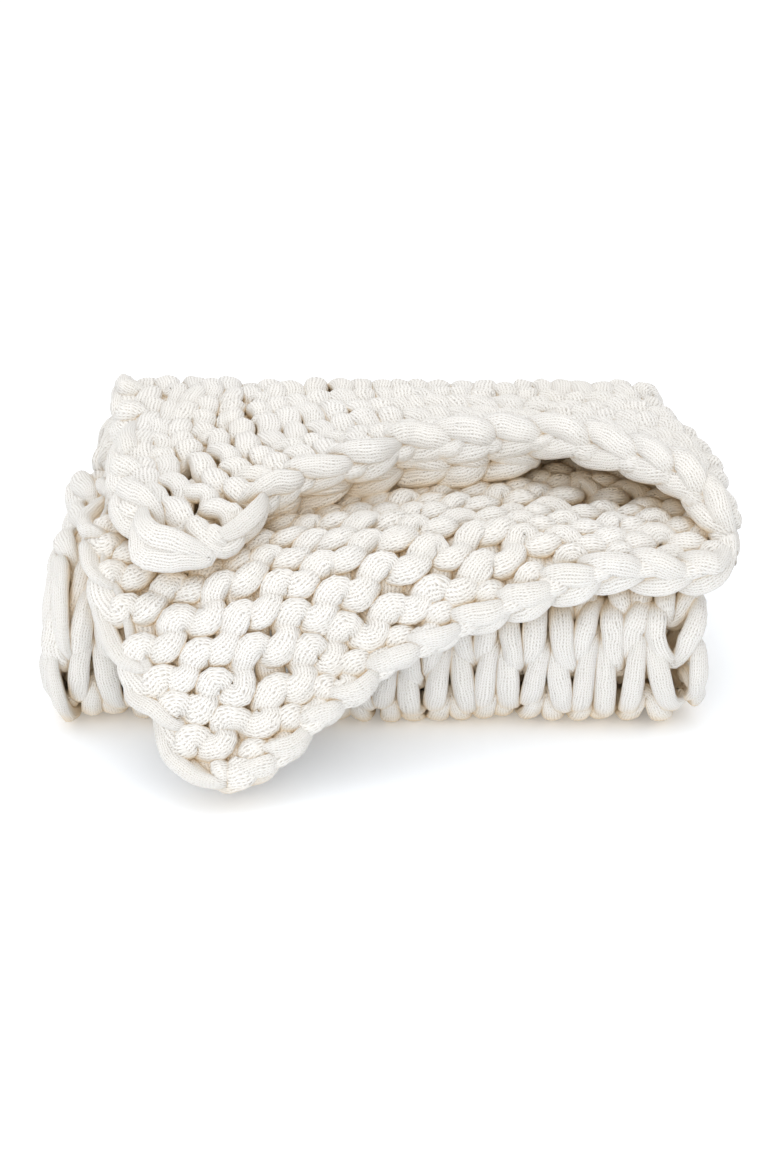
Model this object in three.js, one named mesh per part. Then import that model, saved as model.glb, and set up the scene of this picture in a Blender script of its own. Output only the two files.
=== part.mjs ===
// A chunky hand-knitted throw, folded for display. Millimetres, +Z up, front towards -Y.
//
// The throw is one knitted cloth. It is doubled over once, left onto right, with the fold on the
// right-hand side, so every panel is two leaves thick with the knit side outwards. The doubled
// cloth is then laid in a Z: a bottom panel, a fold at the front, a middle panel, a fold at the
// back, and a top panel whose two loose ends splay apart over the front edge. The upper end
// stops on top with its free corner hanging, and the lower end drapes to the surface in front.
// Each mesh is one stretch of that cloth: a leaf of a panel, a fold, a selvedge or a bound edge.
import * as THREE from "three";
import { mergeVertices } from "three/addons/utils/BufferGeometryUtils.js";

// Driving dimensions
const LEAF = 40; // thickness of one leaf of the knitting
const WIDTH = 619; // of the folded stack, left to right
const DEPTH = 390; // of the folded stack, front to back
const WALES = 12; // columns of stitches across one leaf
const STITCH = 50; // width of one column of stitches, and of the edge strips
const FOLD_POWER = 0.65; // 1 is a round fold, and less is a squarer one
const TOP_SET_IN_LEFT = 52; // how far the top panel's left edge is set in at the back
const TOP_SET_IN_RIGHT = 18; // and its right-hand fold
const BOUND_EDGE = 30; // depth of the cast-on chain at the bottom panel's end
const BOUND_FROM = 0.92; // where the bound-off chain starts along the top panel
const DRAPE_FROM = 0.5; // where the lower leaf of the top panel leaves the stack
const TOP_LEAF = 34; // thickness of a leaf of the top panel, whose stitches are drawn out
const TOP_FOLD_INSIDE = 4.25; // of the top panel's side fold, inwards from its middle surface
const GAP = 1.2; // clearance between neighbouring stretches of the stack
const TOP_GAP = 3; // and of the top panel, whose end faces are twisted

// Places worked out from them
const LEFT = -322; // of the stack, which lies off-centre under its top panel
const FOLD_RADIUS = 2 * LEAF; // outside radius of the front and back folds
const FRONT_AXIS = FOLD_RADIUS; // distance of the front fold's axis from the front face
const BACK_AXIS = DEPTH - FOLD_RADIUS;
const SIDE_AXIS = LEFT + WIDTH - LEAF; // axis of the right-hand fold of a doubled panel
const FOLD_HEIGHT = [2 * LEAF, 4 * LEAF]; // heights of the front and back fold axes
const BACK_END = DEPTH - 12; // where the bottom panel's cast-on chain ends
const HEART = 3; // radius left open at the heart of a fold

// Lines across the top panel, each from the upper leaf's free edge, over the right-hand fold,
// and back to the lower leaf's free edge. ACROSS counts columns of stitches along such a line,
// and ALONG is its place between the back fold and the bound edge.
const ACROSS = [0, 2, 4, 6, 8, 10, 12, 12.5, 13, 15, 17, 19, 21, 23, 25];
const ALONG = [-0.3, 0, 0.4, 0.7, 1];
const FOLD_RUN_IN = 70; // the line at -0.3 lies this far behind the one at 0
const MIDDLE_LINE = [
  [-262, 120, 225],
  [-190, 225, 221],
  [-86, 255, 221],
  [8, 265, 222],
  [98, 262, 224],
  [194, 245, 225],
  [264, 228, 224],
  [286, 222, 202],
  [264, 218, 181],
  [170, 205, 180],
  [82, 200, 180],
  [-12, 180, 180],
  [-104, 130, 181],
  [-196, 66, 181],
  [-286, 56, 181],
];
const BROW_LINE = [
  [-242, 4, 221],
  [-166, 135, 222],
  [-60, 195, 224],
  [38, 215, 228],
  [126, 215, 230],
  [222, 180, 230],
  [289, 150, 221],
  [310, 125, 199],
  [291, 96, 182],
  [195, 56, 185],
  [108, 50, 184],
  [16, 25, 182],
  [-76, -4, 176],
  [-162, -38, 147],
  [-248, -48, 114],
];
const BOUND_LINE = [
  [-167, -54, 198],
  [-108, 60, 223],
  [-22, 122, 240],
  [68, 147, 249],
  [154, 147, 251],
  [244, 102, 245],
  [301, 62, 209],
  [312, 40, 183],
  [292, 8, 166],
  [206, -5, 169],
  [122, -17, 152],
  [40, -37, 116],
  [-37, -67, 80],
  [-95, -101, 50],
  [-160, -126, 21],
];

const lerp = (a, b, t) => a + (b - a) * t;

// Half a superellipse of unit radius, for a fold: (sideways, upwards) at an angle from straight
// down, and then at a turn from 0 to 1 by its length.
const FOLD_STEPS = 96;
function foldPoint(angle) {
  const side = Math.abs(Math.sin(angle)) ** FOLD_POWER;
  const up = -Math.sign(Math.cos(angle)) * Math.abs(Math.cos(angle)) ** FOLD_POWER;
  return [side, up];
}
const foldLengths = [0];
for (let i = 1; i <= FOLD_STEPS; i++) {
  const [s0, u0] = foldPoint((Math.PI * (i - 1)) / FOLD_STEPS);
  const [s1, u1] = foldPoint((Math.PI * i) / FOLD_STEPS);
  foldLengths.push(foldLengths[i - 1] + Math.hypot(s1 - s0, u1 - u0));
}
function aroundFold(turn) {
  const wanted = turn * foldLengths[FOLD_STEPS];
  let i = 1;
  while (i < FOLD_STEPS && foldLengths[i] < wanted) i++;
  const part = (wanted - foldLengths[i - 1]) / (foldLengths[i] - foldLengths[i - 1]);
  return foldPoint((Math.PI * (i - 1 + Math.min(1, Math.max(0, part)))) / FOLD_STEPS);
}

// The cloth's cross-section, seen from the front: leaf "under" or "over" the doubled cloth's
// middle, or the right-hand fold that joins them. Gives (x, height above the doubled middle)
// for a place u across and a distance w outwards from the leaf's own middle.
const SECTION = {
  under: (u, w) => [u, -LEAF / 2 - w],
  over: (u, w) => [u, LEAF / 2 + w],
  side: (u, w) => {
    const turn = Math.PI * (u - 0.5);
    const radius = Math.max(LEAF / 2 + w, HEART);
    return [SIDE_AXIS + radius * Math.cos(turn), radius * Math.sin(turn)];
  },
};

// The Z of the stack, seen from the right: where a point x across and n above the doubled
// cloth's middle goes, at a place v along each panel or fold.
const STACK = {
  bottom: (x, v, n) => [x, v, LEAF + n],
  front: (x, v, n) => {
    const [side, up] = aroundFold(v);
    const radius = Math.max(LEAF - n, HEART);
    return [x, FRONT_AXIS - radius * side, FOLD_HEIGHT[0] + radius * up];
  },
  middle: (x, v, n) => [x, v, 3 * LEAF - n],
  back: (x, v, n) => {
    const [side, up] = aroundFold(v);
    const fromLeft = (x - LEFT) / (SIDE_AXIS + LEAF - LEFT);
    const shift = lerp(TOP_SET_IN_LEFT, -TOP_SET_IN_RIGHT, fromLeft) * v;
    const radius = Math.max(LEAF + n, HEART);
    return [x + shift, BACK_AXIS + radius * side, FOLD_HEIGHT[1] + radius * up];
  },
};

// Smooth curve through points at uneven stations (Catmull-Rom with finite-difference slopes).
function smooth(stations, points, at) {
  let i = 0;
  while (i < stations.length - 2 && stations[i + 1] < at) i++;
  const slope = (k) => {
    const a = Math.max(0, k - 1);
    const b = Math.min(stations.length - 1, k + 1);
    return points[a].map((p, c) => (points[b][c] - p) / (stations[b] - stations[a]));
  };
  const span = stations[i + 1] - stations[i];
  const t = (at - stations[i]) / span;
  const s0 = slope(i);
  const s1 = slope(i + 1);
  return points[i].map((p, c) => {
    const q = points[i + 1][c];
    const h = t * t * (3 - 2 * t);
    return lerp(p, q, h) + span * (t * (1 - t) ** 2 * s0[c] - t * t * (1 - t) * s1[c]);
  });
}

// The top panel's line where it leaves the back fold.
const SIDE_STATIONS = { 12: 1, 12.5: 0.5, 13: 0 };
const backLine = ACROSS.map((column) => {
  let place;
  if (column in SIDE_STATIONS) place = SECTION.side(SIDE_STATIONS[column], 0);
  else if (column < WALES) place = SECTION.over(lerp(LEFT, SIDE_AXIS, column / WALES), 0);
  else place = SECTION.under(lerp(SIDE_AXIS, LEFT, (column - WALES - 1) / WALES), 0);
  return STACK.back(place[0], 1, place[1]);
});
const runIn = backLine.map(([x, y, z]) => [x, y + FOLD_RUN_IN, z]);
const LINES = [runIn, backLine, MIDDLE_LINE, BROW_LINE, BOUND_LINE];

function topMiddle(column, along) {
  return smooth(ALONG, LINES.map((line) => smooth(ACROSS, line, column)), along);
}

// A point of the top panel: w outwards, on the knit side, from its middle surface.
const SLOPE_STEP = 0.02; // in columns, and in the same share of the panel's length
function topPanel(column, along, w) {
  const left = new THREE.Vector3(...topMiddle(column - SLOPE_STEP, along));
  const right = new THREE.Vector3(...topMiddle(column + SLOPE_STEP, along));
  const behind = new THREE.Vector3(...topMiddle(column, along - SLOPE_STEP));
  const before = new THREE.Vector3(...topMiddle(column, along + SLOPE_STEP));
  const normal = right.sub(left).cross(behind.sub(before)).normalize();
  const [x, y, z] = topMiddle(column, along);
  return [x + normal.x * w, y + normal.y * w, z + normal.z * w];
}

// A box bent by a mapping of its three ranges, closed, with its faces outwards.
const WELD = 1e-4; // of the unit box's corners and edges
function bentBox(mapping, ranges, segments) {
  const box = new THREE.BoxGeometry(1, 1, 1, ...segments);
  box.deleteAttribute("normal");
  box.deleteAttribute("uv");
  const geometry = mergeVertices(box, WELD);
  const position = geometry.getAttribute("position");
  for (let i = 0; i < position.count; i++) {
    const place = [position.getX(i), position.getY(i), position.getZ(i)];
    position.setXYZ(i, ...mapping(...place.map((p, k) => lerp(...ranges[k], p + 0.5))));
  }
  if (volume(geometry) < 0) {
    const index = geometry.getIndex();
    for (let i = 0; i < index.count; i += 3) {
      const first = index.getX(i);
      index.setX(i, index.getX(i + 1));
      index.setX(i + 1, first);
    }
  }
  geometry.computeVertexNormals();
  return geometry;
}

// Its volume, which is negative when its faces are turned inwards.
function volume(geometry) {
  const position = geometry.getAttribute("position");
  const corner = (k) => new THREE.Vector3().fromBufferAttribute(position, k);
  const index = geometry.getIndex().array;
  let sum = 0;
  for (let i = 0; i < index.length; i += 3) {
    sum += corner(index[i]).dot(corner(index[i + 1]).cross(corner(index[i + 2])));
  }
  return sum / 6;
}

const throwBlanket = new THREE.Group();
const CREAM = 0xf1eae0;

function addCloth(name, geometry) {
  const material = new THREE.MeshStandardMaterial({
    color: CREAM,
    roughness: 0.95,
    metalness: 0,
  });
  const mesh = new THREE.Mesh(geometry, material);
  mesh.name = name;
  throwBlanket.add(mesh);
}

// The Z stack: each panel and fold has an under leaf, an over leaf and a right-hand fold, and a
// strip one stitch wide along each leaf's free edge is its selvedge.
const flat = (from, to) => [from + GAP / 2, to - GAP / 2];
const TURN_GAP = GAP / (Math.PI * LEAF); // the same clearance, as a share of a fold's turn
const turned = [TURN_GAP, 1 - TURN_GAP];
const thick = flat(-LEAF / 2, LEAF / 2);
const chainStart = BACK_END - BOUND_EDGE;
const SIDE_STEPS = 6; // flats round a right-hand fold
const STRETCHES = [
  ["bottom", flat(FRONT_AXIS, chainStart), 1, "bottom_panel", "lower", "upper"],
  ["front", turned, 12, "front_fold", "outer", "inner"],
  ["middle", flat(FRONT_AXIS, BACK_AXIS), 1, "middle_panel", "upper", "lower"],
  ["back", turned, 16, "back_fold", "inner", "outer"],
  ["bottom", flat(chainStart, BACK_END), 1, "cast_on_edge", "lower", "upper"],
];
const selvedge = flat(LEFT, LEFT + STITCH);
const leafSpan = flat(LEFT + STITCH, SIDE_AXIS);
for (const [place, along, steps, name, under, over] of STRETCHES) {
  const laid = (section) => (u, v, w) => {
    const [x, n] = SECTION[section](u, w);
    return STACK[place](x, v, n);
  };
  for (const [section, leaf] of [["under", under], ["over", over]]) {
    const map = laid(section);
    addCloth(`${name}_${leaf}_leaf`, bentBox(map, [leafSpan, along, thick], [1, steps, 1]));
    addCloth(`${name}_${leaf}_selvedge`, bentBox(map, [selvedge, along, thick], [1, steps, 1]));
  }
  const fold = bentBox(laid("side"), [turned, along, thick], [SIDE_STEPS, steps, 1]);
  addCloth(`${name}_side_fold`, fold);
}

// The top panel, in stretches of columns and of its length.
const TOP_MARGIN = TOP_GAP / 2 / STITCH; // a clearance in columns, and taken off lengths too
const trimmed = ([from, to]) => [from + TOP_MARGIN, to - TOP_MARGIN];
const topThick = [-TOP_LEAF / 2, TOP_LEAF / 2];
const foldThick = [-TOP_FOLD_INSIDE, TOP_LEAF / 2];
const LAST = ACROSS.at(-1);
const TOP_STRETCHES = [
  ["top_panel_upper_leaf", [1, WALES], [0, BOUND_FROM], topThick, [22, 12]],
  ["top_panel_upper_selvedge", [0, 1], [0, BOUND_FROM], topThick, [2, 12]],
  ["top_panel_side_fold", [WALES, WALES + 1], [0, BOUND_FROM], foldThick, [8, 12]],
  ["top_panel_lower_leaf", [WALES + 1, LAST - 1], [0, DRAPE_FROM], topThick, [22, 7]],
  ["top_panel_lower_selvedge", [LAST - 1, LAST], [0, DRAPE_FROM], topThick, [2, 7]],
  ["draped_end", [WALES + 1, LAST - 1], [DRAPE_FROM, BOUND_FROM], topThick, [22, 7]],
  ["draped_end_selvedge", [LAST - 1, LAST], [DRAPE_FROM, BOUND_FROM], topThick, [2, 7]],
  ["bound_edge_upper_leaf", [0, WALES], [BOUND_FROM, 1], topThick, [24, 2]],
  ["bound_edge_side_fold", [WALES, WALES + 1], [BOUND_FROM, 1], foldThick, [8, 2]],
  ["bound_edge_lower_leaf", [WALES + 1, LAST], [BOUND_FROM, 1], topThick, [24, 2]],
];
for (const [name, across, along, through, steps] of TOP_STRETCHES) {
  const ranges = [trimmed(across), trimmed(along), through];
  addCloth(name, bentBox(topPanel, ranges, [...steps, 1]));
}

// The origin is on the resting surface, under the middle of the whole.
const box = new THREE.Box3().setFromObject(throwBlanket);
const centre = box.getCenter(new THREE.Vector3());
throwBlanket.position.set(-centre.x, -centre.y, -box.min.z);

export default throwBlanket;
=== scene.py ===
"""A chunky hand-knitted throw, folded for display, with every stitch laid in tube yarn.

The knitting is worked out flat, as rows of stitches, and then laid on two stretches of cloth: the
one that starts at the cast-on edge under the stack, and the one that ends at the bound-off edge
in front. They meet inside the stack, at the foot of the back fold.

Lengths are in millimetres in the design's own axes until a mesh is made, which is in metres in
the frame's. Comments say where a number is in metres.
"""
import math

import bpy
import numpy as np
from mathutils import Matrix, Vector


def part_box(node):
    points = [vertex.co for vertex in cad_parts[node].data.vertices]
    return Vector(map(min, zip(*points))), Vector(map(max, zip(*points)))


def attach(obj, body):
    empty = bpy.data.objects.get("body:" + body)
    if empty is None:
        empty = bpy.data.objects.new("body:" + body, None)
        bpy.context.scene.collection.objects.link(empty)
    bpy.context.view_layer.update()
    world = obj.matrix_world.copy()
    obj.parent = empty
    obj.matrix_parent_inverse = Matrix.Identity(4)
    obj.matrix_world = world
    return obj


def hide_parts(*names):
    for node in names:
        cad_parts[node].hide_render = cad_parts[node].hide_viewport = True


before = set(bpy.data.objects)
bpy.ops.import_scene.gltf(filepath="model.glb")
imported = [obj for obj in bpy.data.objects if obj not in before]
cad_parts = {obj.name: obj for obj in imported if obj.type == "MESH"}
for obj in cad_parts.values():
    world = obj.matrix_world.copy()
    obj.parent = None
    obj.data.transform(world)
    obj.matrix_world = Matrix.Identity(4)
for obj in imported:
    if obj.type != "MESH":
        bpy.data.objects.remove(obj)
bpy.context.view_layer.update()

# Driving dimensions, as in the CAD model unless they say otherwise
LEAF = 40.0  # thickness of one leaf of the knitting
WIDTH = 619.0  # of the folded stack
DEPTH = 390.0  # from its front to its back
WALES = 12  # columns of stitches across one leaf
COLUMNS = 25  # and across the whole cloth, with one on the side fold
FOLD_POWER = 0.65  # 1 is a round fold, and less is a squarer one
TOP_SET_IN_LEFT = 52.0  # how far the top panel's left edge is set in at the back
TOP_SET_IN_RIGHT = 18.0  # and its right-hand fold
GAP = 1.2  # clearance between neighbouring CAD solids
LEFT = -322.0  # of the stack, which lies off-centre under its top panel
FOLD_RADIUS = 2 * LEAF  # outside radius of the front and back folds
FRONT_AXIS = FOLD_RADIUS  # distance of the front fold's axis from the front face
BACK_AXIS = DEPTH - FOLD_RADIUS
SIDE_AXIS = LEFT + WIDTH - LEAF  # axis of the right-hand fold of a doubled panel
FOLD_HEIGHT = (2 * LEAF, 4 * LEAF)  # heights of the front and back fold axes
BACK_END = DEPTH - 12.0  # where the bottom panel's cast-on chain ends
HEART = 3.0  # radius left open at the heart of a fold
SPREAD = 8.0  # only here: how far the yarn widens the cloth at its right side
PRESSED = 0.6  # only here: the front fold is squarer below, and 1 would leave it as it is above
FOLD_BULGE = 20.0  # only here: how far the inner leaf bulges into the outer one's front fold

# The yarn and its stitches
YARN_WIDE = 26.0  # the tube is a little flat where it lies in the cloth
YARN_THICK = 18.0
YARN_SIDES = 16
STEPS = 24  # points along the yarn in one stitch
ROW = 34.0  # height of a row of stitches, before a whole number of them is fitted to the cloth
TOP_ROWS = 9  # rows in the top panel and its draped end, counted from the bound-off edge
# How far a loop reaches up and down from its row's middle, how far a leg leans, in columns, how
# much more of it lies in front than behind, as a share of its relief, and its yarn's plumpness
LOOP = (25.0, 0.15, 0.0, 1.0)
FOLD_LOOP = (27.0, 0.03, 0.50, 0.90)  # where the cloth is stretched over the front fold
EDGE_LOOP = (9.0, 0.10, 0.0, 0.95)  # where a row is held in an edge chain
RELIEF = 8.0  # how far legs stand in front of the cloth's middle, and heads behind
RELIEF_POWER = 0.75  # below 1, the yarn stays near its furthest for longer
LOOP_TILT = 0.12  # radians by which a loop's head leads its legs
LOOP_TWIST = 0.5  # and by which its relief leads them
SWELL = 0.08  # of the yarn where nothing grips it
THINNING = 0.35  # power by which it is thinner where it is stretched
STRETCH_RANGE = (0.6, 1.8)  # the least and the most stretch that changes its thickness
YARN_UNEVEN = 0.035  # how unevenly it is filled
YARN_SLACK = 0.045  # and how far it is out of round
LOOSENESS = (0.10, 6.5, 2.4)  # stitches stray across, in columns, and along and out of the cloth
REACH_UNEVEN = 0.05  # how much the loops of a row differ in reach, as a share
COLUMN_UNEVEN = 0.032  # and how far the yarn in it wanders across, in columns
LENGTH_UNEVEN = 1.3  # along
OUT_UNEVEN = 0.8  # and out of the cloth
EDGE_INSET = 0.42  # columns that the edge stitches are drawn in by
TURN_OUT = 0.28  # columns that the yarn swings out by as it turns at a selvedge
CUT_OVERLAP = 6.0  # length by which rows pass the inner end of a cloth

# A chain of stitches on edge: the way round one of them, as stitches onwards, half widths to the
# side and reliefs forwards, with the yarn's plumpness
CHAIN_STITCH = [
    (-0.10, -0.05, -0.9, 0.58), (0.14, -0.15, 0.5, 0.80), (0.52, -0.70, 1.0, 0.98),
    (0.94, -1.15, 0.2, 0.90), (1.20, -0.80, -0.8, 0.72), (1.30, 0.00, -1.3, 0.62),
    (1.20, 0.80, -0.8, 0.72), (0.94, 1.15, 0.2, 0.90), (0.52, 0.70, 1.0, 0.98),
    (0.14, 0.15, 0.5, 0.80), (-0.10, 0.05, -0.9, 0.58), (0.40, 0.00, -1.6, 0.56),
]
CHAIN_PLUMP = 0.94  # of its yarn beside that of the other stitches
CHAIN_HALF_WIDTH = 10.8  # from its middle to the middle of the yarn at its side
CHAIN_RELIEF = 9.5
CHAIN_PACE = 0.03  # how unevenly it runs, in stitches
CHAIN_UNEVEN = 0.07  # and its sides and relief, as a share of each
CHAIN_LAP = 0.35  # how far one leg lies in front of the other, for each half width
CHAIN_END = 0.42  # width of its last loop, which is pulled tight, as a share of the others
CHAIN_AT = 12.0  # distance of its middle from the bound edge
EDGE_ROW_AT = 22.0  # and of the middle of the row that it holds
EDGE_DEPTH = 21.0  # of the cloth that it takes up
TILT_ABOVE = math.radians(92)  # how far it is rolled from the cloth's plane on the upper leaf
TILT_BELOW = math.radians(118)  # and on the lower one
TILT_OVER = 3  # columns round the side fold in which the one turns into the other
UNDER_CHAIN = (27.0, -25.0)  # place along and out of the cloth of its back loops
SELVEDGE_STITCH = 2 * ROW  # its length along a selvedge, where it takes two rows
SELVEDGE_AT = 13.0  # distance of its middle from the selvedge
SELVEDGE_TILT = math.radians(60)
FLOOR_PRESS = 0.004  # metres above the floor within which yarn is pressed flat

# The top panel's lines, from the upper leaf's free edge round to the lower leaf's, with the place
# of each point in columns of stitches and of each line between the back fold and the bound edge.
# The draped tip comes further down and forward than in the CAD model, to rest on the table.
ACROSS = [0, 2, 4, 6, 8, 10, 12, 12.5, 13, 15, 17, 19, 21, 23, 25]
ALONG = [-0.3, 0, 0.4, 0.7, 1]
FOLD_RUN_IN = 70.0  # distance behind its first line of a helper line, so that it starts level
MIDDLE_LINE = [
    (-262, 120, 225), (-190, 225, 221), (-86, 255, 221), (8, 265, 222), (98, 262, 224),
    (194, 245, 225), (264, 228, 224), (286, 222, 202), (264, 218, 181), (170, 205, 180),
    (82, 200, 180), (-12, 180, 180), (-104, 130, 181), (-196, 66, 181), (-286, 56, 181),
]
BROW_LINE = [
    (-242, 4, 221), (-166, 135, 222), (-60, 195, 224), (38, 215, 228), (126, 215, 230),
    (222, 180, 230), (289, 150, 221), (310, 125, 199), (291, 96, 182), (195, 56, 185),
    (108, 50, 184), (16, 25, 182), (-76, -4, 176), (-162, -38, 147), (-248, -48, 114),
]
BOUND_LINE = [
    (-167, -54, 198), (-108, 60, 223), (-22, 122, 240), (68, 147, 249), (154, 147, 251),
    (244, 102, 245), (301, 62, 209), (312, 40, 183), (292, 8, 166), (206, -5, 169),
    (122, -17, 152), (40, -37, 116), (-37, -67, 80), (-95, -106, 40), (-160, -142, 7),
]

# From the design's axes to the frame's, found from the lowest corner of one CAD solid
METRE = 0.001
DESIGN_CORNER = (LEFT + GAP / 2, FRONT_AXIS + GAP / 2, GAP / 2)
frame_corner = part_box("bottom_panel_lower_selvedge")[0]
SHIFT = np.array(frame_corner) - np.array(DESIGN_CORNER) * METRE

# ---- Camera, light and floor ----------------------------------------------------------------
CAMERA_PLACE = (0.0, -2222.6, 1277.7)
CAMERA_PITCH = 26.55  # degrees below the horizon
CAMERA_LENS = 83.08  # focal length
WORLD_STRENGTH = 1.0
# Each soft square light's name, side in metres, power in watts and place in metres
LIGHTS = [
    ("overhead", 1.7, 14, (-0.2, 0.1, 2.3)),
    ("front", 1.6, 19, (-0.6, -2.4, 1.0)),
]
LIGHT_AIM = (0, 0, 0.1)  # metres
FLOOR_REACH = 12.0  # metres from its middle to its sides
FLOOR_COLOUR = (0.91, 0.94, 0.98)
FLOOR_GLOW = 0.14  # brings it near the white of the background
FLOOR_ROUGHNESS = 0.9
FLOOR_GLOSS = 0.1


def add_camera():
    data = bpy.data.cameras.new("camera")
    data.lens = CAMERA_LENS
    camera = bpy.data.objects.new("camera", data)
    camera.location = Vector(np.array(CAMERA_PLACE) * METRE + SHIFT)
    camera.rotation_euler = (math.radians(90 - CAMERA_PITCH), 0, 0)
    bpy.context.scene.collection.objects.link(camera)
    bpy.context.scene.camera = camera


def add_light(name, side, watts, place):
    data = bpy.data.lights.new(name, "AREA")
    data.size = side
    data.energy = watts
    light = bpy.data.objects.new(name, data)
    light.location = place
    aim = Vector(LIGHT_AIM) - Vector(place)
    light.rotation_euler = aim.to_track_quat("-Z", "Y").to_euler()
    bpy.context.scene.collection.objects.link(light)


def add_studio():
    world = bpy.data.worlds.new("studio")
    world.use_nodes = True
    background = world.node_tree.nodes["Background"]
    background.inputs["Color"].default_value = (1, 1, 1, 1)
    background.inputs["Strength"].default_value = WORLD_STRENGTH
    bpy.context.scene.world = world
    for light in LIGHTS:
        add_light(*light)
    bpy.context.scene.view_settings.view_transform = "Standard"


def add_floor():
    mesh = bpy.data.meshes.new("floor")
    far = FLOOR_REACH
    corners = [(-far, -far, 0), (far, -far, 0), (far, far, 0), (-far, far, 0)]
    mesh.from_pydata(corners, [], [(0, 1, 2, 3)])
    floor = bpy.data.objects.new("floor", mesh)
    bpy.context.scene.collection.objects.link(floor)
    material = bpy.data.materials.new("floor")
    material.use_nodes = True
    shader = material.node_tree.nodes["Principled BSDF"]
    shader.inputs["Base Color"].default_value = (*FLOOR_COLOUR, 1)
    shader.inputs["Emission Color"].default_value = (1, 1, 1, 1)
    shader.inputs["Emission Strength"].default_value = FLOOR_GLOW
    shader.inputs["Roughness"].default_value = FLOOR_ROUGHNESS
    shader.inputs["Specular IOR Level"].default_value = FLOOR_GLOSS
    mesh.materials.append(material)


# ---- The cloth's middle surfaces ------------------------------------------------------------
COLUMN_STEP = 1 / 16  # between points of a cloth's grid across, in columns
LENGTH_STEP = 3.0  # and along
COLUMN_GRID = np.arange(0, COLUMNS + COLUMN_STEP / 2, COLUMN_STEP)
PART_LINES = 60  # lines across the cloth in each of the three parts of the cast-on end
PANEL_LINES = 161  # in the top panel
BACK_FOLD_LINES = 49  # and in the back fold
SMOOTHINGS = 3  # passes that round off where the parts meet
FOLD_STEPS = 192

random = np.random.default_rng(23)  # every uneven thing is drawn from here, in the order made


def lerp(a, b, t):
    return a + (b - a) * t


fold_angles = np.linspace(0, math.pi, FOLD_STEPS + 1)
fold_side = np.abs(np.sin(fold_angles)) ** FOLD_POWER
fold_up = -np.sign(np.cos(fold_angles)) * np.abs(np.cos(fold_angles)) ** FOLD_POWER
fold_length = np.concatenate([[0], np.cumsum(np.hypot(np.diff(fold_side), np.diff(fold_up)))])


def around_fold(turn):
    """(sideways, upwards) on a superellipse of unit radius, at turn 0 to 1 by its length."""
    at = turn * fold_length[-1]
    return np.interp(at, fold_length, fold_side), np.interp(at, fold_length, fold_up)


def section(column):
    """(x, height above the doubled cloth's middle) of the leaf's middle at each column. The side
    fold joins the first columns' leaf, at positive heights, to the last columns' one."""
    over_x = lerp(LEFT, SIDE_AXIS, column / WALES)
    under_x = lerp(SIDE_AXIS, LEFT, (column - WALES - 1) / WALES)
    turn = math.pi * (WALES + 0.5 - column)
    x = np.where(column < WALES, over_x, np.where(column > WALES + 1, under_x, 0))
    n = np.where(column < WALES, LEAF / 2, -LEAF / 2)
    side = (column >= WALES) & (column <= WALES + 1)
    x = np.where(side, SIDE_AXIS + LEAF / 2 * np.cos(turn), x)
    n = np.where(side, LEAF / 2 * np.sin(turn), n)
    return x, n


# A point of each part at x, at height n above the doubled cloth's middle. v is the distance from
# the front of the stack in bottom and middle, and the share of a fold turned, upwards, in the rest.
def bottom(x, v, n):
    return np.stack([x, v + 0 * x, LEAF + n], -1)


def front(x, v, n):
    side, up = around_fold(v)
    side = side ** (PRESSED if v < 0.5 else 1)
    on_inner_leaf = np.clip(n / LEAF + 0.5, 0, 1)
    bulge = FOLD_BULGE * math.sin(math.pi * v) * on_inner_leaf
    radius = np.maximum(LEAF - n, HEART) + bulge
    return np.stack([x, FRONT_AXIS - radius * side, FOLD_HEIGHT[0] + radius * up], -1)


def middle(x, v, n):
    return np.stack([x, v + 0 * x, 3 * LEAF - n], -1)


def back(x, v, n):
    side, up = around_fold(v)
    from_left = (x - LEFT) / (SIDE_AXIS + LEAF - LEFT)
    shift = lerp(TOP_SET_IN_LEFT, -TOP_SET_IN_RIGHT, from_left) * v
    radius = np.maximum(LEAF + n, HEART)
    return np.stack([x + shift, BACK_AXIS + radius * side, FOLD_HEIGHT[1] + radius * up], -1)


def smooth(stations, points, at):
    """Curve through points at uneven stations, Catmull-Rom with finite-difference slopes."""
    stations = np.array(stations, float)
    points = np.array(points, float)
    last = len(stations) - 1
    before = np.maximum(np.arange(last + 1) - 1, 0)
    after = np.minimum(np.arange(last + 1) + 1, last)
    spread = (stations[after] - stations[before]).reshape((-1,) + (1,) * (points.ndim - 1))
    slope = (points[after] - points[before]) / spread
    i = np.clip(np.searchsorted(stations, at, side="left") - 1, 0, last - 1)
    span = stations[i + 1] - stations[i]
    t = (at - stations[i]) / span
    shape = (-1,) + (1,) * (points.ndim - 1)
    t, span = t.reshape(shape), span.reshape(shape)
    ease = t * t * (3 - 2 * t)
    bend = span * (t * (1 - t) ** 2 * slope[i] - t * t * (1 - t) * slope[i + 1])
    return lerp(points[i], points[i + 1], ease) + bend


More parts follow.
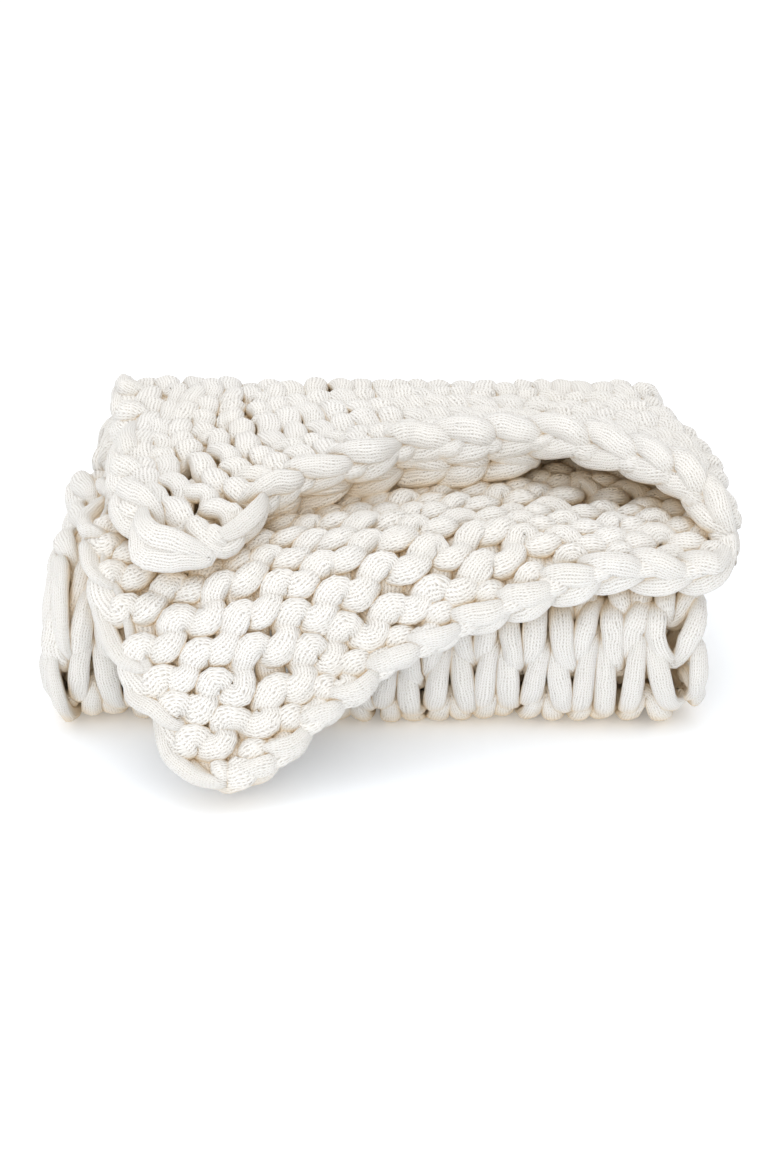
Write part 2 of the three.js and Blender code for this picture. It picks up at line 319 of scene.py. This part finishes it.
class Cloth:
    """The middle surface of a stretch of knitting, by column of stitches and by length."""

    def __init__(self, lines, lengths, outwards):
        """lines[k] is the surface at lengths[k], both given for every column of the grid, and
        outwards is 1 or -1, whichever turns the surface's normal to the knit side."""
        lines[..., 0] += SPREAD * (lines[..., 0] - LEFT) / WIDTH  # nothing at the left side
        total = lengths[-1]
        self.total = total
        steps = np.arange(0, total.max() + LENGTH_STEP, LENGTH_STEP)
        grid = np.empty((len(COLUMN_GRID), len(steps), 3))
        for c in range(len(COLUMN_GRID)):
            for axis in range(3):
                grid[c, :, axis] = np.interp(steps, lengths[:, c], lines[:, c, axis])
        kernel = np.array([1, 4, 6, 4, 1]) / 16
        for _ in range(SMOOTHINGS):  # with the first end run on straight, so that it stays put
            padded = np.concatenate([grid[:, :1]] * 2 + [grid] + [grid[:, -1:]] * 2, 1)
            padded[:, 0] = 3 * grid[:, 0] - 2 * grid[:, 1]
            padded[:, 1] = 2 * grid[:, 0] - grid[:, 1]
            grid = sum(kernel[k] * padded[:, k:k + grid.shape[1]] for k in range(5))
        self.grid = grid
        self.across = np.gradient(grid, COLUMN_STEP, axis=0)
        self.down = np.gradient(grid, LENGTH_STEP, axis=1)
        for c in range(len(COLUMN_GRID)):  # past a column's end its direction stays as it was
            ended = min(int(total[c] / LENGTH_STEP), len(steps) - 2)
            self.down[c, ended:] = self.down[c, max(ended - 1, 0)]
        normal = outwards * np.cross(self.across, self.down)
        self.normal = unit(normal)
        stray = random.normal(0, 1, (COLUMNS + 3, int(total.max() / ROW) + 4, 3))
        self.stray = stray * LOOSENESS

    def lay(self, column, length, out):
        """Points out from the surface at a column and a length, and the ways out, across and down
        the cloth there."""
        stray = between(self.stray, column + 1, length / ROW + 1)
        column = column + stray[:, 0]
        length = length + stray[:, 1]
        out = out + stray[:, 2]
        inside_c = np.clip(column, 0, COLUMNS)
        inside_l = np.maximum(length, 0)
        i, j = inside_c / COLUMN_STEP, inside_l / LENGTH_STEP
        normal = unit(between(self.normal, i, j))
        across = between(self.across, i, j)
        down = between(self.down, i, j)
        point = between(self.grid, i, j) + normal * out[:, None]
        point += across * (column - inside_c)[:, None] + down * (length - inside_l)[:, None]
        return point, normal, unit(across), unit(down)


def between(field, i, j):
    """A grid's values at the fractional places i and j."""
    i = np.clip(i, 0, field.shape[0] - 1.001)
    j = np.clip(j, 0, field.shape[1] - 1.001)
    i0, j0 = i.astype(int), j.astype(int)
    fi, fj = (i - i0)[:, None], (j - j0)[:, None]
    low = lerp(field[i0, j0], field[i0, j0 + 1], fj)
    high = lerp(field[i0 + 1, j0], field[i0 + 1, j0 + 1], fj)
    return lerp(low, high, fi)


def unit(v):
    return v / np.maximum(np.linalg.norm(v, axis=-1, keepdims=True), 1e-9)


def bound_end():
    """The cloth by its length from the bound-off edge: the top panel and the back fold."""
    first = smooth(ACROSS, back_line(), COLUMN_GRID)
    run_in = first + [0, FOLD_RUN_IN, 0]
    net = [smooth(ACROSS, line, COLUMN_GRID) for line in (MIDDLE_LINE, BROW_LINE, BOUND_LINE)]
    along = np.linspace(1, 0, PANEL_LINES)
    panel = smooth(ALONG, np.array([run_in, first] + net), along)
    x, n = section(COLUMN_GRID)
    turns = np.linspace(1, 0, BACK_FOLD_LINES)[1:]
    fold = np.array([back(x, turn, n) for turn in turns])
    steps = np.linalg.norm(np.diff(panel, axis=0), axis=-1)
    panel_length = np.concatenate([np.zeros((1, len(COLUMN_GRID))), np.cumsum(steps, axis=0)])
    fold_part = LEAF * fold_length[-1] * (1 - turns)
    lengths = np.concatenate([panel_length, panel_length[-1] + fold_part[:, None]])
    return Cloth(np.concatenate([panel, fold]), lengths, 1)


def back_line():
    """The top panel's first line, where it comes off the back fold."""
    x, n = section(np.array(ACROSS, float))
    return back(x, 1.0, n)


def cast_on_end():
    """The cloth by its length from the cast-on edge: bottom panel, front fold, middle panel."""
    x, n = section(COLUMN_GRID)
    lines, lengths = [], []
    for v in np.linspace(BACK_END, FRONT_AXIS, PART_LINES):
        lines.append(bottom(x, v, n))
        lengths.append(BACK_END - v)
    reached = lengths[-1]
    for turn in np.linspace(0, 1, PART_LINES)[1:]:
        lines.append(front(x, turn, n))
        lengths.append(reached + LEAF * fold_length[-1] * turn)
    reached = lengths[-1]
    for v in np.linspace(FRONT_AXIS, BACK_AXIS, PART_LINES)[1:]:
        lines.append(middle(x, v, n))
        lengths.append(reached + v - FRONT_AXIS)
    by_column = np.repeat(np.array(lengths)[:, None], len(COLUMN_GRID), 1)
    return Cloth(np.array(lines), by_column, -1)


# ---- Yarn -----------------------------------------------------------------------------------
def wander(count, spacing, amount):
    """A smooth random run of count numbers, with a new value every spacing of them."""
    knots = random.normal(0, amount, int(count / spacing) + 4)
    at = np.linspace(0, max(count / spacing, 1), count)
    i = at.astype(int)
    t = at - i
    ease = t * t * (3 - 2 * t)
    return lerp(knots[i], knots[i + 1], ease)


def thinning(step):
    """How much thinner the yarn is where its points, step apart, are stretched out."""
    window = np.ones(STEPS) / STEPS
    pace = np.convolve(np.pad(step, STEPS // 2, mode="edge"), window, "same")
    pace = pace[STEPS // 2 - 1:][:len(step) + 1]
    return np.clip(pace / np.median(step), *STRETCH_RANGE) ** -THINNING


class Yarns:
    """Lengths of yarn gathered into one mesh."""

    def __init__(self, name):
        self.name = name
        self.points, self.faces, self.uvs, self.count = [], [], [], 0

    def add(self, path, out, plump=1.0):
        """A tube along path, wide across and thick along out, with round ends."""
        count = len(path)
        tangent = unit(np.gradient(path, axis=0))
        side = unit(np.cross(tangent, out))
        up = np.cross(side, tangent)
        step = np.linalg.norm(np.diff(path, axis=0), axis=1)
        length = np.concatenate([[0], np.cumsum(step)])
        from_end = np.minimum(length, length[-1] - length)
        tip = np.clip(from_end / (YARN_THICK / 2), 0, 1)
        size = np.sqrt(np.maximum(1 - (1 - tip) ** 2, 0.01)) * plump
        size = size * (1 + wander(count, STEPS / 3, YARN_UNEVEN)) * thinning(step)
        angle = np.arange(YARN_SIDES) * 2 * math.pi / YARN_SIDES
        slack = np.ones((count, YARN_SIDES))
        for lobes in (2, 3, 5):  # round the tube, where they come and go and drift
            phase = wander(count, STEPS, 2.0)[:, None]
            slack += wander(count, STEPS / 2, YARN_SLACK)[:, None] * np.cos(lobes * angle + phase)
        wide = (YARN_WIDE / 2 * size)[:, None] * np.cos(angle) * slack
        thick = (YARN_THICK / 2 * size)[:, None] * np.sin(angle) * slack
        ring = path[:, None] + wide[..., None] * side[:, None] + thick[..., None] * up[:, None]
        self.points += [ring.reshape(-1, 3), path[[0, -1]]]
        self.skin(count, length * METRE)
        self.count += count * YARN_SIDES + 2

    def skin(self, count, length):
        """Faces and texture coordinates (metres along, turns around) of the tube just made."""
        i = np.arange(count - 1)[:, None] * YARN_SIDES + self.count
        k = np.arange(YARN_SIDES)[None, :]
        after = (k + 1) % YARN_SIDES
        quads = np.stack([i + k, i + after, i + YARN_SIDES + after, i + YARN_SIDES + k], -1)
        turns = np.stack([k, k + 1, k + 1, k], -1) / YARN_SIDES
        around = np.broadcast_to(turns, quads.shape)
        metres = np.stack([length[:-1], length[:-1], length[1:], length[1:]], -1)
        along = np.broadcast_to(metres[:, None], quads.shape)
        self.faces.append(quads.reshape(-1, 4))
        self.uvs.append(np.stack([along, around], -1).reshape(-1, 2))
        first, last = self.count, self.count + (count - 1) * YARN_SIDES
        centre = self.count + count * YARN_SIDES
        for s in range(YARN_SIDES):
            t = (s + 1) % YARN_SIDES
            caps = [(centre, first + t, first + s, -1), (centre + 1, last + s, last + t, -1)]
            cap_uvs = [(length[0], s / YARN_SIDES), (length[-1], s / YARN_SIDES)]
            self.faces.append(np.array(caps))  # triangles, with -1 for the corner they lack
            self.uvs.append(np.repeat(cap_uvs, 3, 0))

    def piece(self, material):
        """One Blender object of all the tubes, pressed flat where they meet the floor."""
        points = np.concatenate(self.points) * METRE + SHIFT
        pressed = points[:, 2] < FLOOR_PRESS
        points[pressed, 2] = FLOOR_PRESS * np.exp(points[pressed, 2] / FLOOR_PRESS - 1)
        faces = np.concatenate(self.faces)
        sizes = np.where(faces[:, 3] < 0, 3, 4)
        corners = faces[faces >= 0]
        mesh = bpy.data.meshes.new(self.name)
        mesh.vertices.add(len(points))
        mesh.vertices.foreach_set("co", points.astype(np.float32).ravel())
        mesh.loops.add(len(corners))
        mesh.loops.foreach_set("vertex_index", corners.astype(np.int32))
        mesh.polygons.add(len(faces))
        starts = np.concatenate([[0], np.cumsum(sizes)[:-1]])
        mesh.polygons.foreach_set("loop_start", starts.astype(np.int32))
        mesh.polygons.foreach_set("use_smooth", np.ones(len(faces), bool))
        layer = mesh.uv_layers.new(name="yarn")
        layer.data.foreach_set("uv", np.concatenate(self.uvs).astype(np.float32).ravel())
        mesh.update(calc_edges=True)
        mesh.validate()
        mesh.materials.append(material)
        piece = bpy.data.objects.new(self.name, mesh)
        bpy.context.scene.collection.objects.link(piece)
        return piece


def stitch_row(centre, headwards, loop):
    """(column, length, out, plumpness) along a row of stitches whose middle is at length centre.
    headwards is 1 where the heads of the loops lie at greater lengths, and -1 where at less."""
    turn = np.linspace(0, COLUMNS * 2 * math.pi, COLUMNS * STEPS + 1)
    count = len(turn)
    reach, lean, front, plumpness = loop
    reach = reach * (1 + wander(count, STEPS / 2, REACH_UNEVEN))
    column = turn / (2 * math.pi) + lean * np.sin(2 * turn)
    column = column + wander(count, STEPS / 1.5, COLUMN_UNEVEN)
    column = lerp(EDGE_INSET, COLUMNS - EDGE_INSET, column / COLUMNS)
    length = centre - headwards * reach * np.cos(turn + LOOP_TILT)
    length = length + wander(count, STEPS, LENGTH_UNEVEN)
    wave = front - np.cos(2 * turn + LOOP_TWIST)
    out = RELIEF * np.sign(wave) * np.abs(wave) ** RELIEF_POWER
    out = out + wander(count, STEPS / 2, OUT_UNEVEN)
    plump = plumpness * (1 + SWELL * np.cos(4 * turn))  # pinched between mid leg and mid head
    return np.stack([column, length, out, plump], 1)


def edge_turn(start, end):
    """The yarn's way round a selvedge, from the end of one row to the start of the next."""
    outwards = math.copysign(TURN_OUT, start[0] - COLUMNS / 2)
    t = np.linspace(0, 1, STEPS // 2)[1:-1, None]
    handle = np.array([outwards, 0, RELIEF, 0])
    near = start * (1 - t) ** 3 + 3 * (start + handle) * t * (1 - t) ** 2
    return near + 3 * (end + handle) * t * t * (1 - t) + end * t ** 3


def knit(name, cloth, centres, headwards, rightwards, loop=LOOP):
    """Rows knitted to and fro across a cloth from one yarn, which is cut where the cloth ends."""
    yarns = Yarns(name)
    run = []
    for centre in centres:
        row = stitch_row(centre, headwards, loop)
        row = row if rightwards else row[::-1]
        rightwards = not rightwards
        if run:
            run.append(edge_turn(run[-1][-1], row[0]))
        run.append(row)
    column, length, out, plump = np.concatenate(run).T
    kept = length < np.interp(column, COLUMN_GRID, cloth.total) + CUT_OVERLAP
    path, way = cloth.lay(column, length, out)[:2]
    edges = np.flatnonzero(np.diff(np.concatenate([[0], kept.astype(int), [0]])))
    for start, end in zip(edges[::2], edges[1::2]):
        if end - start > STEPS / 2:  # anything shorter is an offcut of a loop
            yarns.add(path[start:end], way[start:end], plump[start:end])
    return yarns


def chain_path(count):
    """(stitches onwards, to the side, forwards, plumpness) along a chain of count stitches, with
    millimetres to the side and forwards."""
    turns = len(CHAIN_STITCH)
    stitches = np.tile(CHAIN_STITCH, (count, 1))
    stitches[:, 0] += np.repeat(np.arange(count), turns)
    steps = count * STEPS * 2
    path = smooth(np.arange(len(stitches)), stitches, np.linspace(0, len(stitches) - 1, steps))
    onwards = path[:, 0] + wander(steps, STEPS, CHAIN_PACE)
    drawn_in = np.clip(count + 0.5 - onwards, CHAIN_END, 1)
    lateral = CHAIN_HALF_WIDTH * drawn_in * (path[:, 1] + wander(steps, STEPS, CHAIN_UNEVEN))
    proud = CHAIN_RELIEF * (path[:, 2] + wander(steps, STEPS, CHAIN_UNEVEN))
    return onwards, lateral, proud, CHAIN_PLUMP * path[:, 3]


def edge_chain(yarns, cloth, first, count, way, place=(CHAIN_AT, 0.0)):
    """A chain of count stitches along a cloth's end, from column first, with way 1 or -1."""
    onwards, lateral, proud, plump = chain_path(count)
    proud = proud - way * CHAIN_LAP * lateral
    column = lerp(EDGE_INSET, COLUMNS - EDGE_INSET, (first + way * onwards) / COLUMNS)
    below = np.clip((column - WALES + 1) / TILT_OVER, 0, 1)
    tilt = lerp(TILT_ABOVE, TILT_BELOW, below)
    length = place[0] + lateral * np.cos(tilt) - proud * np.sin(tilt)
    out = place[1] + lateral * np.sin(tilt) + proud * np.cos(tilt)
    points, normal, _, down = cloth.lay(column, length, out)
    tilt = tilt[:, None]
    yarns.add(points, unit(np.cos(tilt) * normal - np.sin(tilt) * down), plump)


def edge_row(yarns, cloth, headwards):
    """The row of loops that an edge chain holds."""
    column, length, out, plump = stitch_row(EDGE_ROW_AT, headwards, EDGE_LOOP).T
    path, way = cloth.lay(column, length, out)[:2]
    yarns.add(path, way, plump)


def selvedge_chain(name, cloth, edge):
    """The chain up a selvedge, at column 0 or the last, for the whole of a cloth's length."""
    yarns = Yarns(name)
    start = EDGE_DEPTH + SELVEDGE_STITCH / 4
    count = int((cloth.total[-1 if edge else 0] - start) / SELVEDGE_STITCH)
    onwards, lateral, proud, plump = chain_path(count)
    outwards = 1 if edge else -1
    sine, cosine = math.sin(SELVEDGE_TILT), math.cos(SELVEDGE_TILT)
    sideways = proud * sine - lateral * cosine - SELVEDGE_AT
    column = edge + outwards * sideways * WALES / WIDTH
    out = lateral * sine + proud * cosine
    length = start + (count - onwards) * SELVEDGE_STITCH
    points, normal, across, _ = cloth.lay(column, length, out)
    yarns.add(points, unit(cosine * normal + outwards * sine * across), plump)
    return yarns


# ---- Material -------------------------------------------------------------------------------
RIBS_AROUND = 24  # ribs of the yarn's own fine stitches
RIB_WANDER = 2.5  # how far they stray around it, in ribs
RIB_WANDER_SCALE = 55.0  # noise scales are in features a metre
TINY_STITCH = 0.0027  # metres along the yarn
TINY_LEAN = 0.8  # how far each side of a rib's V runs along the yarn, in tiny stitches
TINY_UNEVEN = 2.4  # how far tiny stitches stray along it, in their own length
TINY_UNEVEN_SCALE = 120.0
HOLE_SHARPNESS = 2.5  # power that keeps the small holes between the ribs
HOLE_SWING = -0.45  # how much a hole's depth changes along the yarn
HOLE_DEPTH = 0.55  # and its middle depth
LEG_HEIGHT = 0.12  # of a tiny stitch's legs at a rib's middle
LEG_RISE = 0.2  # and how much more at its sides
CREASES_ALONG = 22.0  # of the tube, in a metre
CREASES_AROUND = 7.0
CREASE_DEPTH = 6.0  # beside the tiny stitches
BUMP_STRENGTH = 0.7
BUMP_DEPTH = 0.0012  # metres
THREAD_COLOUR = (0.875, 0.87, 0.857)
# painted shade: the low places between the fine stitches are coloured darker, as shade falls in
# them
GROOVE_SHADE_COLOUR = (0.60, 0.555, 0.49)
GROOVE_HEIGHT = -1.1  # height of the fine stitches that has the groove's painted shade
THREAD_HEIGHT = 0.4  # and the thread's
GAP_SHADE_COLOUR = (0.88, 0.68, 0.42)  # painted shade in the gaps between strands, warm as light that has passed through yarn
GAP_REACH = 0.065  # metres within which other yarn shuts a place in
GAP_OPENNESS = 0.52  # share of open air below which a place counts as in a gap
GAP_SAMPLES = 6
WARM_TINT = (0.99, 0.98, 0.96)
BLOTCH_SCALE = 9.0
BLOTCH_RANGE = (0.3, 0.7)  # of the noise, from the warm tint to none
ROUGHNESS = 0.92
GLOSS = 0.25
FUZZ = 0.25
FUZZ_ROUGHNESS = 0.6


def yarn_material():
    """Fine jersey tube: narrow ribs of small V stitches along the yarn, soft and a bit fuzzy."""
    material = bpy.data.materials.new("cream_tube_yarn")
    material.use_nodes = True
    tree = material.node_tree
    shader = tree.nodes["Principled BSDF"]

    def node(kind, **settings):
        made = tree.nodes.new(kind)
        for key, value in settings.items():
            setattr(made, key, value)
        return made

    def feed(socket, value):
        """Links a node's output to a socket, or sets a number or a colour on it."""
        if hasattr(value, "links"):
            tree.links.new(value, socket)
        elif isinstance(value, tuple):
            socket.default_value = (*value, 1)
        else:
            socket.default_value = value

    def calc(operation, *values):
        made = node("ShaderNodeMath", operation=operation)
        for socket, value in zip(made.inputs, values):
            feed(socket, value)
        return made.outputs[0]

    def share(value, low, high):
        """How far value has come from low to high, from 0 to 1."""
        made = node("ShaderNodeMapRange")
        made.inputs["From Min"].default_value = low
        made.inputs["From Max"].default_value = high
        feed(made.inputs["Value"], value)
        return made.outputs[0]

    def mix(factor, first, second, blend="MIX"):
        """A colour that is first where factor is 0, and second, or blended with it, where 1."""
        made = node("ShaderNodeMix", data_type="RGBA", blend_type=blend)
        feed(made.inputs[0], factor)
        feed(made.inputs[6], first)
        feed(made.inputs[7], second)
        return made.outputs[2]

    spot = node("ShaderNodeUVMap", uv_map="yarn")
    parts = node("ShaderNodeSeparateXYZ")
    feed(parts.inputs[0], spot.outputs[0])
    along, around = parts.outputs[0], parts.outputs[1]
    place = node("ShaderNodeTexCoord").outputs["Object"]

    def noise(scale, detail=2.0, where=place):
        made = node("ShaderNodeTexNoise")
        made.inputs["Scale"].default_value = scale
        made.inputs["Detail"].default_value = detail
        feed(made.inputs["Vector"], where)
        return made.outputs["Fac"]

    strayed = calc("MULTIPLY", noise(RIB_WANDER_SCALE), RIB_WANDER)
    rib = calc("FRACT", calc("MULTIPLY_ADD", around, RIBS_AROUND, strayed))
    off_rib = calc("MULTIPLY", calc("ABSOLUTE", calc("SUBTRACT", rib, 0.5)), 2.0)
    waver = calc("MULTIPLY", noise(TINY_UNEVEN_SCALE), TINY_UNEVEN)
    stitches_along = calc("MULTIPLY", along, 1 / TINY_STITCH)
    climb = calc("ADD", stitches_along, calc("MULTIPLY", off_rib, TINY_LEAN))
    wave = calc("SINE", calc("MULTIPLY", calc("ADD", climb, waver), 2 * math.pi))
    hole_depth = calc("MULTIPLY_ADD", wave, HOLE_SWING, HOLE_DEPTH)
    hole = calc("MULTIPLY", calc("POWER", off_rib, HOLE_SHARPNESS), hole_depth)
    legs = calc("MULTIPLY", wave, calc("MULTIPLY_ADD", off_rib, LEG_RISE, LEG_HEIGHT))
    height = calc("SUBTRACT", legs, hole)
    crease_place = node("ShaderNodeCombineXYZ")
    feed(crease_place.inputs[0], calc("MULTIPLY", along, CREASES_ALONG))
    feed(crease_place.inputs[1], calc("MULTIPLY", around, CREASES_AROUND))
    crease = noise(1.0, 1.0, crease_place.outputs[0])
    bump = node("ShaderNodeBump")
    bump.inputs["Strength"].default_value = BUMP_STRENGTH
    bump.inputs["Distance"].default_value = BUMP_DEPTH
    feed(bump.inputs["Height"], calc("MULTIPLY_ADD", crease, CREASE_DEPTH, height))
    feed(shader.inputs["Normal"], bump.outputs[0])

    # Painted shade: the grooves between the fine stitches take a darker colour than the thread
    thread_and_groove_shade = mix(share(height, GROOVE_HEIGHT, THREAD_HEIGHT), GROOVE_SHADE_COLOUR, THREAD_COLOUR)
    blotch = share(noise(BLOTCH_SCALE, 3.0), *BLOTCH_RANGE)
    tinted_and_groove_shaded = mix(1.0, thread_and_groove_shade, mix(blotch, WARM_TINT, (1, 1, 1)), "MULTIPLY")
    # Painted shade: where other yarn shuts a place in, the colour turns to the warm, darker gap
    # shade
    open_air = node("ShaderNodeAmbientOcclusion", samples=GAP_SAMPLES)
    open_air.inputs["Distance"].default_value = GAP_REACH
    openness = calc("DIVIDE", open_air.outputs["AO"], GAP_OPENNESS)
    feed(shader.inputs["Base Color"], mix(openness, GAP_SHADE_COLOUR, tinted_and_groove_shaded))
    shader.inputs["Roughness"].default_value = ROUGHNESS
    shader.inputs["Specular IOR Level"].default_value = GLOSS
    shader.inputs["Sheen Weight"].default_value = FUZZ
    shader.inputs["Sheen Roughness"].default_value = FUZZ_ROUGHNESS
    return material


# ---- The throw ------------------------------------------------------------------------------
add_camera()
add_studio()
add_floor()
cream = yarn_material()
bound_cloth = bound_end()
cast_cloth = cast_on_end()

# A whole number of rows fills the cloth between its edge chains, measured along the side fold.
# Each stretch then takes those that lie on it, counted from its own edge.
side_fold = int((WALES + 0.5) / COLUMN_STEP)
rows_length = bound_cloth.total[side_fold] + cast_cloth.total[side_fold] - 2 * EDGE_DEPTH
rows = round(rows_length / ROW)
centres = EDGE_DEPTH + (np.arange(rows) + 0.5) * (rows_length / rows)
bound_rows = centres[centres - LOOP[0] < bound_cloth.total.max()]
cast_rows = centres[centres < cast_cloth.total[0]]
in_bottom = cast_rows < BACK_END - FRONT_AXIS
in_middle = cast_rows > cast_cloth.total[0] - (BACK_AXIS - FRONT_AXIS)
in_front = ~in_bottom & ~in_middle

# Chains of stitches along the cloth's two ends, each with the row of loops that it holds. The one
# at the bound-off end runs both ways from the right-hand fold, with loops behind its upper half.
bound_off = Yarns("bound_off_chain")
edge_chain(bound_off, bound_cloth, WALES + 0.5, WALES, -1)
edge_chain(bound_off, bound_cloth, WALES + 0.5, WALES, 1)
edge_row(bound_off, bound_cloth, -1)
back_loops = Yarns("bound_off_back_loops")
edge_chain(back_loops, bound_cloth, WALES - 4.5, WALES - 6, -1, UNDER_CHAIN)
cast_on = Yarns("cast_on_chain")
edge_chain(cast_on, cast_cloth, 0.5, COLUMNS - 1, 1)
edge_row(cast_on, cast_cloth, 1)

# Each piece, with the beginnings and ends of the names of the CAD nodes that it stands for
PIECES = [
    (knit("top_panel_stitches", bound_cloth, bound_rows[:TOP_ROWS], -1, True),
     ("top_panel", "draped_end"), ("leaf", "fold", "end")),
    (knit("back_fold_stitches", bound_cloth, bound_rows[TOP_ROWS:], -1, False),
     ("back_fold",), ("leaf", "fold")),
    (knit("bottom_panel_stitches", cast_cloth, cast_rows[in_bottom], 1, True),
     ("bottom_panel",), ("leaf", "fold")),
    (knit("front_fold_stitches", cast_cloth, cast_rows[in_front], 1, True, FOLD_LOOP),
     ("front_fold",), ("leaf", "fold")),
    (knit("middle_panel_stitches", cast_cloth, cast_rows[in_middle], 1, True),
     ("middle_panel",), ("leaf", "fold")),
    (selvedge_chain("upper_end_selvedge_chain", bound_cloth, 0),
     ("top_panel_upper", "back_fold_outer"), ("selvedge",)),
    (selvedge_chain("draped_end_selvedge_chain", bound_cloth, COLUMNS),
     ("top_panel_lower", "draped_end", "back_fold_inner"), ("selvedge",)),
    (selvedge_chain("inner_leaf_selvedge_chain", cast_cloth, 0),
     ("bottom_panel_upper", "front_fold_inner", "middle_panel_lower"), ("selvedge",)),
    (selvedge_chain("outer_leaf_selvedge_chain", cast_cloth, COLUMNS),
     ("bottom_panel_lower", "front_fold_outer", "middle_panel_upper"), ("selvedge",)),
    (bound_off, ("bound_edge",), ("leaf", "fold")),
    (back_loops, ("bound_edge_upper",), ("leaf",)),
    (cast_on, ("cast_on_edge",), ("leaf", "fold", "selvedge")),
]
for yarns, starts, ends in PIECES:
    piece = yarns.piece(cream)
    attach(piece, "root")
    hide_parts(*[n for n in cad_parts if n.startswith(starts) and n.endswith(ends)])
